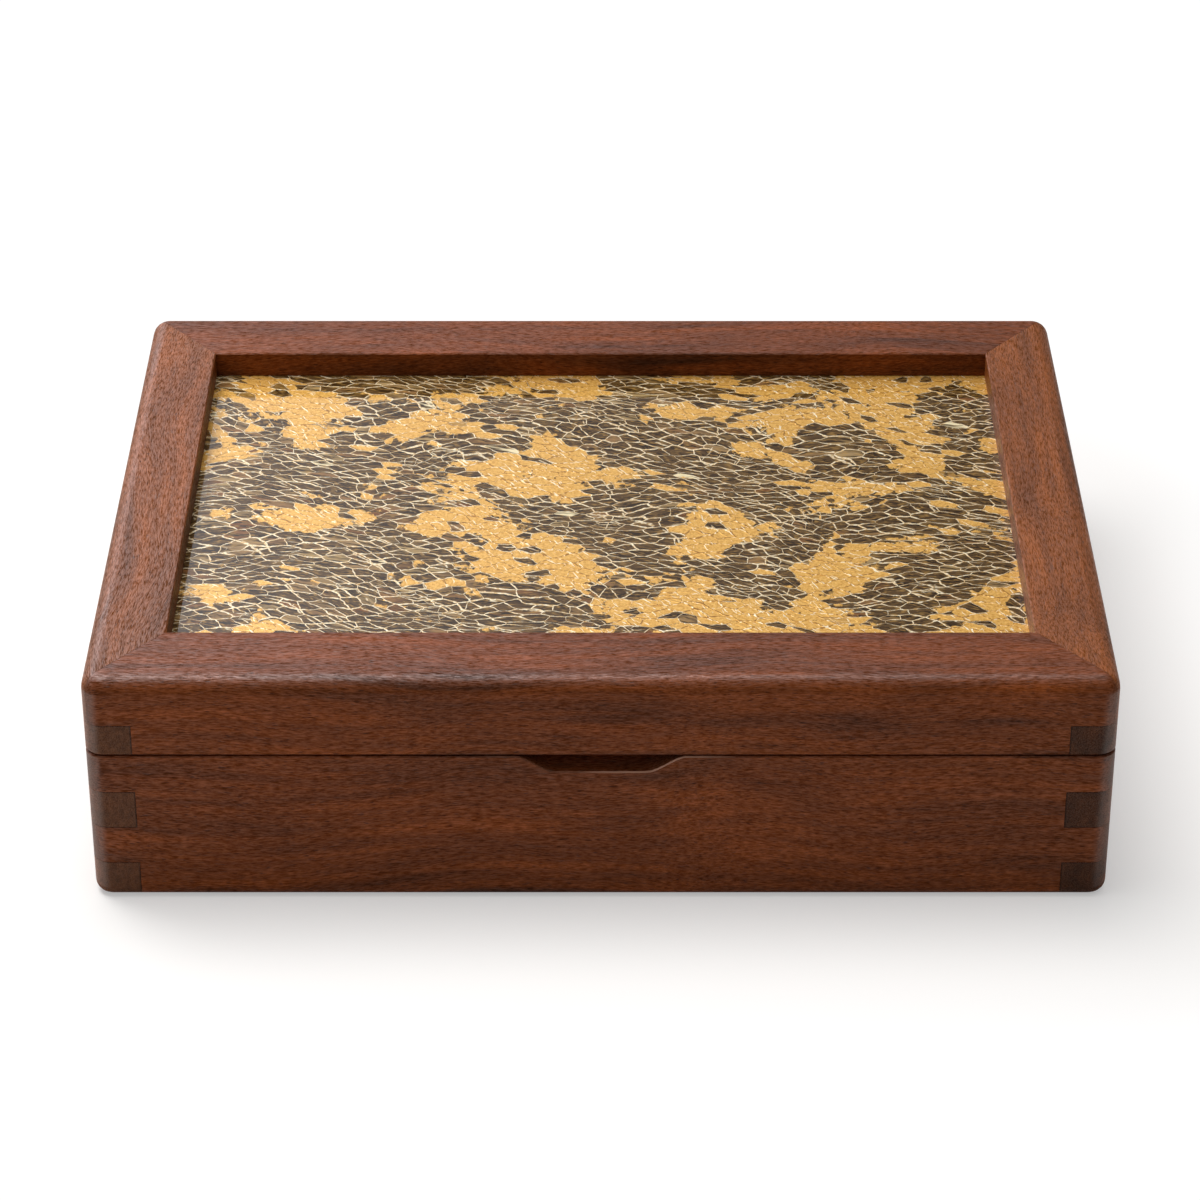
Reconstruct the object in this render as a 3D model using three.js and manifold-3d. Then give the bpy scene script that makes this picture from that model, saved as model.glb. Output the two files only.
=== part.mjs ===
// A walnut jewelry box with finger-jointed corners, a scooped finger notch and a hinged lid.
// The lid is a mitred frame that holds a gilded panel. Millimetres, +Z up, +Y towards the back,
// with the origin at the middle of the underside.

import * as THREE from "three";
import { mergeVertices } from "three/addons/utils/BufferGeometryUtils.js";
import Module from "manifold-3d";

const wasm = await Module();
wasm.setup();

// Driving dimensions of the outside
const boxWidth = 300;
const boxDepth = 230.5;
const boxHeight = 75.5;
const seamHeight = 50;
const seamGap = 0.5;
const cornerRadius = 5.5;
const topRoundOver = 5;
const bottomRoundOver = 3.5;
const arris = 0.4;

// Driving dimensions of the joinery
const wall = 14;
const glueLine = 0.1;
const fit = 0.3;
const caseFingers = 4;
const lidFinger = 10;
const longRailWidth = 27.3;
const sideRailWidth = 22.8;
const panelRecess = 8.4;
const panelThickness = 3;
const backingThickness = 2.5;
const stripHeight = 5;
const stripWidth = 6;
const baseThickness = 5;
const baseRabbet = 6;

// Finger notch in the front board's top edge
const notchOpening = 51.5;
const notchFlat = 26;
const notchDepth = 5.3;
const notchReach = 11;

// Linings, dividers and the ring cushion
const liningThickness = 2;
const floorLiningThickness = 3;
const liningBelowRim = 4;
const dividerThickness = 4;
const dividerHeight = 26;
const longDividerY = -22;
const crossDividerX = 46;
const ringRolls = 6;
const ringCushionHeight = 22;
const ringCushionEdge = 12;
const lidPadHeight = 4;
const lidPadEdge = 2;
const drawnIn = 0.6;

// Stop hinges
const hingeSpacing = 190;
const hingeLength = 38;
const barrelRadius = 2.5;
const barrelOffset = 2.8;
const pinRadius = 1.2;
const leafReach = 9;
const leafThickness = 1.9;
const stopAngle = THREE.MathUtils.degToRad(95);
const stopGap = 0.05;
const heelReach = 2.6;
const screwSpacing = 24;
const screwHeadRadius = 2.2;
const screwShankRadius = 1.1;
const screwLength = 9.5;

// How finely round forms are drawn
const cornerSteps = 8;
const roundOverSteps = 6;
const barrelSides = 24;
const screwSides = 12;

// Levels and planes that follow from the driving dimensions
const caseTop = seamHeight - seamGap / 2;
const lidBottom = seamHeight + seamGap / 2;
const panelTop = boxHeight - panelRecess;
const backingTop = panelTop - panelThickness - glueLine;
const stripTop = backingTop - backingThickness - glueLine;
const floorTop = baseThickness + glueLine + floorLiningThickness;
const innerWidth = boxWidth - 2 * wall;
const innerDepth = boxDepth - 2 * wall;
const linedWidth = innerWidth - 2 * (liningThickness + fit);
const linedDepth = innerDepth - 2 * (liningThickness + fit);
const hingeAxisY = boxDepth / 2 + barrelOffset;
const quarterTurn = Math.PI / 2;

// Materials
const walnut = new THREE.MeshStandardMaterial({ color: 0x63392a, roughness: 0.45, metalness: 0 });
const slatWalnut = new THREE.MeshStandardMaterial({ color: 0x6e442e, roughness: 0.5, metalness: 0 });
const plywood = new THREE.MeshStandardMaterial({ color: 0xa88458, roughness: 0.7, metalness: 0 });
const gilding = new THREE.MeshStandardMaterial({ color: 0xb08a48, roughness: 0.3, metalness: 0.6 });
const velvet = new THREE.MeshStandardMaterial({ color: 0x1f1c1c, roughness: 0.95, metalness: 0 });
const brass = new THREE.MeshStandardMaterial({ color: 0xc39a4c, roughness: 0.3, metalness: 1 });

// A closed geometry as a solid that can be joined and cut.
function solid(geometry) {
  const plain = geometry.clone();
  plain.deleteAttribute("normal");
  plain.deleteAttribute("uv");
  const merged = mergeVertices(plain);
  const index = merged.index.array;
  const triangles = [];
  for (let i = 0; i < index.length; i += 3) {
    const [a, b, c] = [index[i], index[i + 1], index[i + 2]];
    if (a !== b && b !== c && c !== a) triangles.push(a, b, c);
  }
  const vertProperties = Float32Array.from(merged.attributes.position.array);
  const triVerts = Uint32Array.from(triangles);
  return new wasm.Manifold(new wasm.Mesh({ numProp: 3, vertProperties, triVerts }));
}

// A solid's surface as a geometry again.
function surface(body) {
  const mesh = body.getMesh();
  const geometry = new THREE.BufferGeometry();
  geometry.setAttribute("position", new THREE.BufferAttribute(mesh.vertProperties, 3));
  geometry.setIndex(new THREE.BufferAttribute(mesh.triVerts, 1));
  const faceted = geometry.toNonIndexed();
  faceted.computeVertexNormals();
  return faceted;
}

// A named mesh from a solid or a geometry.
function piece(name, form, material) {
  const mesh = new THREE.Mesh(form.isBufferGeometry ? form : surface(form), material);
  mesh.name = name;
  return mesh;
}

// A rectangular block between two opposite corners.
function block(low, high) {
  const size = high.map((value, axis) => value - low[axis]);
  const middle = high.map((value, axis) => (value + low[axis]) / 2);
  return new THREE.BoxGeometry(...size).translate(...middle);
}

// Quarter-circle levels of an edge of this radius, as [inset, height] from the outer face in.
function roundOver(radius, steps) {
  return Array.from({ length: steps + 1 }, (_, step) => {
    const angle = (step / steps) * quarterTurn;
    return [radius * (1 - Math.cos(angle)), radius * Math.sin(angle)];
  });
}

// A block lofted through rounded rectangles. Each level is [inset, z], from the bottom up.
function softBlock(width, depth, radius, levels) {
  const ringSize = 4 * (cornerSteps + 1);
  const positions = [];
  for (const [inset, z] of levels) {
    const reach = Math.max(radius - inset, 0);
    const centreX = width / 2 - Math.max(radius, inset);
    const centreY = depth / 2 - Math.max(radius, inset);
    for (let corner = 0; corner < 4; corner += 1) {
      const middle = (corner + 0.5) * quarterTurn;
      for (let step = 0; step <= cornerSteps; step += 1) {
        const angle = (corner + step / cornerSteps) * quarterTurn;
        positions.push(
          Math.sign(Math.cos(middle)) * centreX + reach * Math.cos(angle),
          Math.sign(Math.sin(middle)) * centreY + reach * Math.sin(angle),
          z
        );
      }
    }
  }
  const bottomCentre = positions.length / 3;
  positions.push(0, 0, levels[0][1]);
  positions.push(0, 0, levels[levels.length - 1][1]);
  const topRing = (levels.length - 1) * ringSize;
  const triangles = [];
  for (let point = 0; point < ringSize; point += 1) {
    const next = (point + 1) % ringSize;
    triangles.push(bottomCentre, next, point);
    triangles.push(bottomCentre + 1, topRing + point, topRing + next);
    for (let ring = 0; ring < topRing; ring += ringSize) {
      triangles.push(ring + point, ring + next, ring + ringSize + next);
      triangles.push(ring + point, ring + ringSize + next, ring + ringSize + point);
    }
  }
  const geometry = new THREE.BufferGeometry();
  geometry.setAttribute("position", new THREE.Float32BufferAttribute(positions, 3));
  geometry.setIndex(triangles);
  return geometry;
}

// Outside form of the closed case: rounded corners, a round-over below and an arris at the seam.
function caseBlock() {
  const foot = roundOver(bottomRoundOver, roundOverSteps).map(([inset, rise]) => [
    inset,
    bottomRoundOver - rise,
  ]);
  const levels = [...foot.reverse(), [0, caseTop - arris], [arris, caseTop]];
  return solid(softBlock(boxWidth, boxDepth, cornerRadius, levels));
}

// Outside form of the lid: an arris at the seam and the broad round-over of the top.
function lidBlock() {
  const shoulder = roundOver(topRoundOver, roundOverSteps).map(([inset, rise]) => [
    inset,
    boxHeight - topRoundOver + rise,
  ]);
  const levels = [[arris, lidBottom], [0, lidBottom + arris], ...shoulder];
  return solid(softBlock(boxWidth, boxDepth, cornerRadius, levels));
}

// Elevation of a board whose ends step in and out as box-joint fingers.
function fingeredOutline(length, ownsLevel) {
  const fingerHeight = caseTop / caseFingers;
  const rightEdge = [];
  for (let level = 0; level < caseFingers; level += 1) {
    const owned = ownsLevel(level);
    const reach = owned ? length / 2 : length / 2 - wall - glueLine;
    const play = owned ? glueLine / 2 : -glueLine / 2;
    const low = level === 0 ? 0 : level * fingerHeight + play;
    const high = level === caseFingers - 1 ? caseTop : (level + 1) * fingerHeight - play;
    rightEdge.push(new THREE.Vector2(reach, low), new THREE.Vector2(reach, high));
  }
  const leftEdge = rightEdge.map((point) => new THREE.Vector2(-point.x, point.y)).reverse();
  return new THREE.Shape([...rightEdge, ...leftEdge]);
}

// A shape drawn in elevation, given a thickness towards the back from the plane y = front.
function standing(shape, front, thickness) {
  const geometry = new THREE.ExtrudeGeometry(shape, { depth: thickness, bevelEnabled: false });
  return geometry.rotateX(quarterTurn).translate(0, front + thickness, 0);
}

// One board of the case, made on the front side and turned to its own side by quarter turns.
function caseBoard(turns, ownsLevel) {
  const length = turns % 2 ? boxDepth : boxWidth;
  const across = turns % 2 ? boxWidth : boxDepth;
  const blank = standing(fingeredOutline(length, ownsLevel), -across / 2, wall);
  const rabbet = block(
    [-innerWidth / 2 - baseRabbet, -innerDepth / 2 - baseRabbet, -1],
    [innerWidth / 2 + baseRabbet, innerDepth / 2 + baseRabbet, baseThickness + glueLine]
  );
  return solid(blank.rotateZ(turns * quarterTurn))
    .intersect(caseBlock())
    .subtract(solid(rabbet));
}

// Cutter of the finger notch. The floor is deepest at the front face, where its edge is eased.
// It is level between two S-shaped ramps, and rises inwards along a cosine.
function notchCutter() {
  const overrun = 1;
  const lift = 0.2;
  const alongSteps = 28;
  const inwardSteps = 8;
  const rows = [-overrun, 0];
  for (let step = 0; step <= inwardSteps; step += 1) {
    rows.push(arris + (step / inwardSteps) * (notchReach - arris));
  }
  const strips = rows.length - 1;
  const cutter = new THREE.BoxGeometry(notchOpening, strips, 1, alongSteps, strips, 1);
  const position = cutter.attributes.position;
  for (let i = 0; i < position.count; i += 1) {
    const x = position.getX(i);
    const inward = rows[Math.round(position.getY(i) + strips / 2)];
    const ramp = 1 - THREE.MathUtils.smoothstep(Math.abs(x), notchFlat / 2, notchOpening / 2);
    const cove = Math.cos((Math.max(inward, 0) / notchReach) * quarterTurn);
    const eased = inward < arris ? arris : 0;
    const floor = caseTop + lift - (notchDepth + lift) * ramp * cove - eased;
    position.setXYZ(i, x, inward - boxDepth / 2, position.getZ(i) < 0 ? floor : lidBottom);
  }
  return solid(cutter);
}

// The part of the lid's frame that one rail fills, made on the front side and then turned: a
// mitred wedge above, and below it either the through finger or the stretch between fingers. The
// mitre runs from the box's corner to the opening's, so it leans towards the narrower rail.
function railRegion(turns, ownsFinger) {
  const [length, across] = turns % 2 ? [boxDepth, boxWidth] : [boxWidth, boxDepth];
  const ownWidth = turns % 2 ? sideRailWidth : longRailWidth;
  const nextWidth = turns % 2 ? longRailWidth : sideRailWidth;
  const lean = nextWidth / ownWidth;
  const overrun = 1;
  const front = -across / 2;
  const wedgeReach = ownWidth + overrun;
  const mitrePlay = (glueLine / 2) * Math.hypot(1, lean);
  const outerHalf = length / 2 + overrun * lean - mitrePlay;
  const innerHalf = length / 2 - wedgeReach * lean - mitrePlay;
  const wedgeShape = new THREE.Shape([
    new THREE.Vector2(-outerHalf, front - overrun),
    new THREE.Vector2(outerHalf, front - overrun),
    new THREE.Vector2(innerHalf, front + wedgeReach),
    new THREE.Vector2(-innerHalf, front + wedgeReach),
  ]);
  const fingerTop = lidBottom + lidFinger;
  const wedgeBottom = ownsFinger ? lidBottom - overrun : fingerTop + glueLine / 2;
  const wedge = new THREE.ExtrudeGeometry(wedgeShape, {
    depth: boxHeight + overrun - wedgeBottom,
    bevelEnabled: false,
  }).translate(0, 0, wedgeBottom);
  const fingerHalf = ownsFinger ? length / 2 + overrun : length / 2 - wall - glueLine;
  const finger = block(
    [-fingerHalf, front - overrun, lidBottom - overrun],
    [fingerHalf, front + wall, ownsFinger ? fingerTop - glueLine / 2 : fingerTop + overrun]
  );
  return solid(wedge.rotateZ(turns * quarterTurn)).add(solid(finger.rotateZ(turns * quarterTurn)));
}

// The lid's frame before it is parted into rails: the outside form, less the sight opening with
// its eased upper edge, less the hollow that takes the panel from below.
function lidFrame() {
  const sightWidth = boxWidth - 2 * sideRailWidth;
  const sightDepth = boxDepth - 2 * longRailWidth;
  const sight = softBlock(sightWidth, sightDepth, 0, [
    [0, panelTop - 1],
    [0, boxHeight - arris],
    [-2 * arris, boxHeight + arris],
  ]);
  const hollow = block(
    [-innerWidth / 2, -innerDepth / 2, lidBottom - 1],
    [innerWidth / 2, innerDepth / 2, panelTop + glueLine]
  );
  return lidBlock().subtract(solid(sight)).subtract(solid(hollow));
}

// A quarter-round strip that holds the panel up, made on the front side, mitred and turned.
function retainingStrip(turns) {
  const length = (turns % 2 ? innerDepth : innerWidth) - 2 * fit;
  const across = (turns % 2 ? innerWidth : innerDepth) - 2 * fit;
  const section = new THREE.Shape();
  section.moveTo(0, 0);
  section.lineTo(stripWidth, 0);
  section.absellipse(0, 0, stripWidth, stripHeight, 0, -quarterTurn, true);
  section.lineTo(0, 0);
  const bar = new THREE.ExtrudeGeometry(section, {
    depth: length,
    bevelEnabled: false,
    curveSegments: 6,
  });
  bar.rotateX(quarterTurn).rotateZ(quarterTurn).translate(-length / 2, -across / 2, stripTop);
  const mitrePlay = glueLine * Math.SQRT1_2;
  const mitre = new THREE.Shape([
    new THREE.Vector2(-length / 2 + mitrePlay, -across / 2),
    new THREE.Vector2(length / 2 - mitrePlay, -across / 2),
    new THREE.Vector2(length / 2 - mitrePlay - stripWidth, -across / 2 + stripWidth),
    new THREE.Vector2(-length / 2 + mitrePlay + stripWidth, -across / 2 + stripWidth),
  ]);
  const keep = new THREE.ExtrudeGeometry(mitre, { depth: boxHeight, bevelEnabled: false });
  const turn = turns * quarterTurn;
  return solid(bar.rotateZ(turn)).intersect(solid(keep.rotateZ(turn)));
}

// The levels of a plate let into the case (up = -1) or the lid (up = 1), from the seam's middle.
function plateLevels(up) {
  return [(up * seamGap) / 2, up * (seamGap / 2 + leafThickness)].sort((a, b) => a - b);
}

// Across the barrel, a knuckle is a circle with a squared heel. The heel's flat comes to the
// wood of the other half when the hinge has opened by the stop angle. Here y runs backwards
// from the pin and up is 1 for the lid's leaf and -1 for the case's.
function knuckle(start, end, up) {
  const standoff = barrelOffset - stopGap;
  const onStop = (reach) =>
    new THREE.Vector2(
      -standoff * Math.cos(stopAngle) + reach * Math.sin(stopAngle),
      -up * (standoff * Math.sin(stopAngle) + reach * Math.cos(stopAngle))
    );
  const heelShape = new THREE.Shape([
    new THREE.Vector2(0, 0),
    onStop(0),
    onStop(heelReach),
    new THREE.Vector2(barrelRadius, 0),
  ]);
  const heel = new THREE.ExtrudeGeometry(heelShape, { depth: end - start, bevelEnabled: false });
  heel.rotateX(quarterTurn).rotateZ(quarterTurn).translate(start, 0, 0);
  const barrel = new THREE.CylinderGeometry(barrelRadius, barrelRadius, end - start, barrelSides);
  barrel.rotateZ(quarterTurn).translate((start + end) / 2, 0, 0);
  const [low, high] = plateLevels(up);
  const neck = block([start, -barrelOffset - fit, low], [end, 0, high]);
  return solid(barrel).add(solid(heel)).add(solid(neck));
}

// A countersunk form about the z axis, from its flat top down: the screw itself, or with some
// clearance the seat that it lies in.
function countersunk(clearance, length) {
  const rim = 0.3;
  const headDepth = rim + screwHeadRadius - screwShankRadius;
  return new THREE.LatheGeometry(
    [
      new THREE.Vector2(0, -length),
      new THREE.Vector2(screwShankRadius + clearance, -length + 2 * screwShankRadius),
      new THREE.Vector2(screwShankRadius + clearance, -headDepth),
      new THREE.Vector2(screwHeadRadius + clearance, -rim),
      new THREE.Vector2(screwHeadRadius + clearance, clearance),
      new THREE.Vector2(0, clearance),
    ],
    screwSides
  ).rotateX(quarterTurn);
}

// A slotted countersunk wood screw, its flat top at z = 0.
function screw() {
  const slotWidth = 0.7;
  const slotDepth = 0.7;
  const slot = block(
    [-screwHeadRadius - 1, -slotWidth / 2, -slotDepth],
    [screwHeadRadius + 1, slotWidth / 2, 1]
  );
  return solid(countersunk(0, screwLength)).subtract(solid(slot));
}

// Where the screws of one leaf stand: along the barrel, and inwards from it.
const screwPlaces = [-screwSpacing / 2, screwSpacing / 2];
const screwInward = barrelOffset + leafReach / 2;

// One leaf of a hinge with the pin's axis on the x axis: the plate let into the wood, its own
// knuckles and the seats of its screws.
function hingeLeaf(up, knuckles) {
  const [low, high] = plateLevels(up);
  const plate = block(
    [-hingeLength / 2, -barrelOffset - leafReach, low],
    [hingeLength / 2, -barrelOffset, high]
  );
  let leaf = solid(plate);
  for (const [start, end] of knuckles) {
    leaf = leaf.add(knuckle(start, end, up));
  }
  const boreRadius = pinRadius + fit;
  const bore = new THREE.CylinderGeometry(boreRadius, boreRadius, 2 * hingeLength, barrelSides);
  leaf = leaf.subtract(solid(bore.rotateZ(quarterTurn)));
  for (const place of screwPlaces) {
    const seat = countersunk(fit, screwLength).rotateX(up > 0 ? Math.PI : 0);
    leaf = leaf.subtract(solid(seat.translate(place, -screwInward, (up * seamGap) / 2)));
  }
  return leaf;
}

// The hinge pin with its two domed heads.
function hingePin() {
  const headRadius = 2;
  const headLength = 1.4;
  const domeSteps = 4;
  const shoulder = hingeLength / 2 + fit;
  const profile = Array.from({ length: domeSteps + 1 }, (_, step) => {
    const angle = (step / domeSteps) * quarterTurn;
    return new THREE.Vector2(headRadius * Math.sin(angle), -shoulder - headLength * Math.cos(angle));
  });
  profile.push(new THREE.Vector2(pinRadius, -shoulder));
  const mirrored = profile.map((point) => new THREE.Vector2(point.x, -point.y)).reverse();
  return solid(new THREE.LatheGeometry([...profile, ...mirrored], barrelSides).rotateZ(quarterTurn));
}

// What a hinge takes out of the back board (up = -1) or the back rail (up = 1): the mortise of
// its leaf and the pilot holes of its screws.
function hingeSeat(centreX, up) {
  const seamFace = seamHeight + (up * seamGap) / 2;
  const levels = [seamFace - up, seamFace + up * (leafThickness + fit)].sort((a, b) => a - b);
  const mortise = block(
    [centreX - hingeLength / 2 - fit, boxDepth / 2 - leafReach - fit, levels[0]],
    [centreX + hingeLength / 2 + fit, boxDepth / 2 + 1, levels[1]]
  );
  let seat = solid(mortise);
  for (const place of screwPlaces) {
    const hole = countersunk(fit, screwLength + fit).rotateX(up > 0 ? Math.PI : 0);
    seat = seat.add(solid(hole.translate(centreX + place, hingeAxisY - screwInward, seamFace)));
  }
  return seat;
}

// A thin slat standing on edge, with eased arrises and half-lap notches from above or below.
function slat(length, notchPlaces, notchedAbove) {
  const easing = 0.6;
  const notchHalf = dividerThickness / 2 + fit;
  const edge = notchedAbove ? dividerHeight : 0;
  const lap = dividerHeight / 2 + (notchedAbove ? -fit / 2 : fit / 2);
  const notched = notchPlaces.flatMap((place) => [
    new THREE.Vector2(place - notchHalf, edge),
    new THREE.Vector2(place - notchHalf, lap),
    new THREE.Vector2(place + notchHalf, lap),
    new THREE.Vector2(place + notchHalf, edge),
  ]);
  const shape = new THREE.Shape([
    new THREE.Vector2(-length / 2, 0),
    ...(notchedAbove ? [] : notched),
    new THREE.Vector2(length / 2, 0),
    new THREE.Vector2(length / 2, dividerHeight),
    ...(notchedAbove ? notched.reverse() : []),
    new THREE.Vector2(-length / 2, dividerHeight),
  ]);
  const geometry = new THREE.ExtrudeGeometry(shape, {
    depth: dividerThickness - 2 * easing,
    bevelThickness: easing,
    bevelSize: easing,
    bevelOffset: -easing,
    bevelSegments: 2,
  });
  return geometry.rotateX(quarterTurn).translate(0, dividerThickness / 2 - easing, 0);
}

// A pad on a rectangle whose sides are drawn in between its corners. Its top rises from the
// edge height to the full height by lift(u, v), with u and v from -1 to 1 across it.
function pad({ width, depth, edgeHeight, height, drawIn, lift, stepsX, stepsY }) {
  const geometry = new THREE.BoxGeometry(2, 2, 1, stepsX, stepsY, 2);
  const position = geometry.attributes.position;
  for (let i = 0; i < position.count; i += 1) {
    const u = position.getX(i);
    const v = position.getY(i);
    const share = position.getZ(i) + 0.5;
    const top = edgeHeight + (height - edgeHeight) * lift(u, v);
    position.setXYZ(
      i,
      u * (width / 2 - drawIn * (1 - v * v)),
      v * (depth / 2 - drawIn * (1 - u * u)),
      share * top
    );
  }
  return geometry;
}

// A smooth crown that falls away near the edges.
function crown(u, v) {
  return Math.sqrt((1 - u ** 6) * (1 - v ** 6));
}

// Parallel sewn rolls across the depth, rounded off at their ends.
function rolls(u, v) {
  const along = ((v + 1) / 2) * ringRolls;
  const fromRidge = 2 * (along - Math.floor(along)) - 1;
  return Math.sqrt((1 - fromRidge ** 2) * (1 - u ** 8));
}

// A lining of covered card for one wall, its top edge rolled over, made for the front wall.
function wallLining(turns) {
  const length = turns % 2 ? linedDepth : innerWidth - 2 * fit;
  const across = turns % 2 ? innerWidth : innerDepth;
  const bottom = baseThickness + fit;
  const top = caseTop - liningBelowRim;
  const section = new THREE.Shape();
  section.moveTo(0, bottom);
  section.lineTo(liningThickness, bottom);
  section.lineTo(liningThickness, top - liningThickness / 2);
  const rolled = liningThickness / 2;
  section.absarc(rolled, top - rolled, rolled, 0, Math.PI, false);
  section.lineTo(0, bottom);
  const geometry = new THREE.ExtrudeGeometry(section, {
    depth: length,
    bevelEnabled: false,
    curveSegments: 6,
  });
  geometry.rotateX(quarterTurn).rotateZ(quarterTurn);
  return geometry.translate(-length / 2, -across / 2 + fit, 0).rotateZ(turns * quarterTurn);
}

// Assembly. Quarter turns from the front side give the right, the back and the left side.
const sides = ["front", "right", "back", "left"];
const hinges = [
  ["left", -hingeSpacing / 2],
  ["right", hingeSpacing / 2],
];
const box = new THREE.Group();

// The case: the sides own the lowest finger and every second one above it.
const frontOwns = (level) => level % 2 === 1;
const sideOwns = (level) => level % 2 === 0;
sides.forEach((side, turns) => {
  let board = caseBoard(turns, turns % 2 ? sideOwns : frontOwns);
  if (side === "front") board = board.subtract(notchCutter());
  if (side === "back") {
    for (const [, centreX] of hinges) board = board.subtract(hingeSeat(centreX, -1));
  }
  box.add(piece(`${side}_board`, board, walnut));
});
const baseHalfWidth = innerWidth / 2 + baseRabbet - glueLine;
const baseHalfDepth = innerDepth / 2 + baseRabbet - glueLine;
const basePanel = block(
  [-baseHalfWidth, -baseHalfDepth, 0],
  [baseHalfWidth, baseHalfDepth, baseThickness]
);
box.add(piece("base_panel", basePanel, walnut));

// Linings and dividers.
sides.forEach((side, turns) => {
  box.add(piece(`${side}_wall_lining`, wallLining(turns), velvet));
});
const floorLining = pad({
  width: linedWidth - 2 * fit,
  depth: linedDepth - 2 * fit,
  edgeHeight: floorLiningThickness,
  height: floorLiningThickness,
  drawIn: 0,
  lift: crown,
  stepsX: 4,
  stepsY: 3,
});
const floorLiningMesh = piece("floor_lining", solid(floorLining), velvet);
floorLiningMesh.position.z = baseThickness + glueLine;
box.add(floorLiningMesh);

const longSlat = slat(linedWidth - 2 * fit, [-crossDividerX, crossDividerX], true);
const longDivider = piece("long_divider", longSlat, slatWalnut);
longDivider.position.set(0, longDividerY, floorTop + glueLine);
box.add(longDivider);
for (const [side, sign] of [["left", -1], ["right", 1]]) {
  const crossSlat = slat(linedDepth - 2 * fit, [longDividerY], false);
  const crossDivider = piece(`${side}_cross_divider`, crossSlat, slatWalnut);
  crossDivider.position.set(sign * crossDividerX, 0, floorTop + glueLine);
  crossDivider.rotation.z = quarterTurn;
  box.add(crossDivider);
}

// The ring cushion fills the front left compartment.
const cellLeft = -linedWidth / 2;
const cellRight = -crossDividerX - dividerThickness / 2;
const cellFront = -linedDepth / 2;
const cellBack = longDividerY - dividerThickness / 2;
const ringCushion = pad({
  width: cellRight - cellLeft - 2 * fit,
  depth: cellBack - cellFront - 2 * fit,
  edgeHeight: ringCushionEdge,
  height: ringCushionHeight,
  drawIn: drawnIn,
  lift: rolls,
  stepsX: 10,
  stepsY: 6 * ringRolls,
});
const ringCushionMesh = piece("ring_cushion", solid(ringCushion), velvet);
ringCushionMesh.position.set(
  (cellLeft + cellRight) / 2,
  (cellFront + cellBack) / 2,
  floorTop + glueLine
);
box.add(ringCushionMesh);

// The lid turns about the hinge axis, so its group's origin is there.
const lid = new THREE.Group();
lid.position.set(0, hingeAxisY, seamHeight);
box.add(lid);
const lidPieces = new THREE.Group();
lidPieces.position.set(0, -hingeAxisY, -seamHeight);
lid.add(lidPieces);

sides.forEach((side, turns) => {
  let rail = lidFrame().intersect(railRegion(turns, turns % 2 === 1));
  if (side === "back") {
    for (const [, centreX] of hinges) rail = rail.subtract(hingeSeat(centreX, 1));
  }
  lidPieces.add(piece(`lid_${side}_rail`, rail, walnut));
  lidPieces.add(piece(`${side}_retaining_strip`, retainingStrip(turns), walnut));
});
const sheetHalfWidth = innerWidth / 2 - fit;
const sheetHalfDepth = innerDepth / 2 - fit;
const gildedPanel = block(
  [-sheetHalfWidth, -sheetHalfDepth, panelTop - panelThickness],
  [sheetHalfWidth, sheetHalfDepth, panelTop]
);
lidPieces.add(piece("gilded_panel", gildedPanel, gilding));
const backingBoard = block(
  [-sheetHalfWidth, -sheetHalfDepth, backingTop - backingThickness],
  [sheetHalfWidth, sheetHalfDepth, backingTop]
);
lidPieces.add(piece("backing_board", backingBoard, plywood));
const lidPad = pad({
  width: 2 * (sheetHalfWidth - stripWidth - fit),
  depth: 2 * (sheetHalfDepth - stripWidth - fit),
  edgeHeight: lidPadEdge,
  height: lidPadHeight,
  drawIn: drawnIn,
  lift: crown,
  stepsX: 16,
  stepsY: 12,
});
const lidLining = piece("lid_lining", solid(lidPad), velvet);
lidLining.position.z = stripTop;
lidLining.rotation.x = Math.PI;
lidPieces.add(lidLining);

// Hinges: the case's leaf holds the two outer knuckles and the pin, the lid's the middle one.
const knuckleLength = hingeLength / 3;
const outerKnuckles = [
  [-hingeLength / 2, -knuckleLength / 2 - fit / 2],
  [knuckleLength / 2 + fit / 2, hingeLength / 2],
];
const middleKnuckle = [[-knuckleLength / 2 + fit / 2, knuckleLength / 2 - fit / 2]];
for (const [side, centreX] of hinges) {
  const onAxis = [
    piece(`${side}_hinge_case_leaf`, hingeLeaf(-1, outerKnuckles), brass),
    piece(`${side}_hinge_pin`, hingePin(), brass),
  ];
  for (const mesh of onAxis) {
    mesh.position.set(centreX, hingeAxisY, seamHeight);
    box.add(mesh);
  }
  const lidLeaf = piece(`${side}_hinge_lid_leaf`, hingeLeaf(1, middleKnuckle), brass);
  lidLeaf.position.set(centreX, hingeAxisY, seamHeight);
  lidPieces.add(lidLeaf);
  screwPlaces.forEach((place, index) => {
    const caseScrew = piece(`${side}_hinge_case_screw_${index + 1}`, screw(), brass);
    caseScrew.position.set(centreX + place, hingeAxisY - screwInward, caseTop);
    caseScrew.rotation.z = index;
    box.add(caseScrew);
    const lidScrew = piece(`${side}_hinge_lid_screw_${index + 1}`, screw(), brass);
    lidScrew.position.set(centreX + place, hingeAxisY - screwInward, lidBottom);
    lidScrew.rotation.set(Math.PI, 0, index);
    lidPieces.add(lidScrew);
  });
}

export default box;
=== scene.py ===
# %% [markdown]
# A gilded jewelry box in oiled walnut.
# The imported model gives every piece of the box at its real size. This lesson dresses those
# pieces: it smooths the boards, cuts the velvet linings and the ring cushion, and mixes each
# finish from what the real one is. The first cell loads the frame that everything sits in.

# %% Load the frame
import math

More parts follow.
